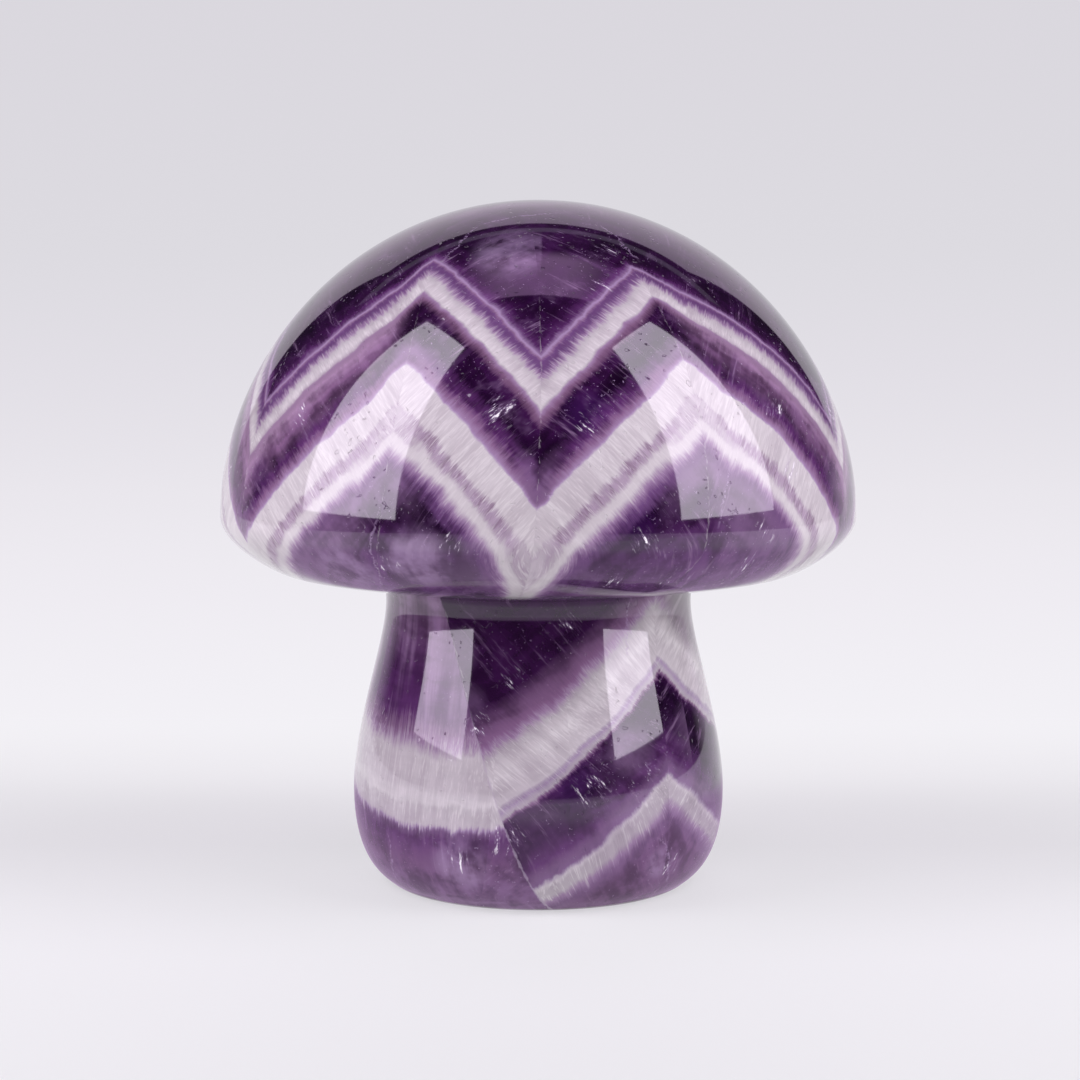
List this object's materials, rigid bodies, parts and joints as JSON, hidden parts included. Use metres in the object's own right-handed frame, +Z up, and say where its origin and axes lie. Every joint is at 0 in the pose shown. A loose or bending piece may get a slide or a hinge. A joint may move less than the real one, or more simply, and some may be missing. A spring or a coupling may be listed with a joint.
{
  "type": "chevron amethyst mushroom carving",
  "caption": "Mushroom carved and polished from one piece of chevron amethyst, with a domed cap, a rolled lip and a swelling stem on a flat foot.",
  "frame": {"origin": "middle of the flat foot, where the carving stands", "axes": "+Z up along the axis the carving is turned about, -Y towards the viewer of the picture"},
  "size_m": [0.051, 0.051, 0.055],
  "materials": {
    "banded_amethyst": "polished"
  },
  "bodies": {
    "root": {"mushroom": "banded_amethyst"}
  },
  "joints": []
}
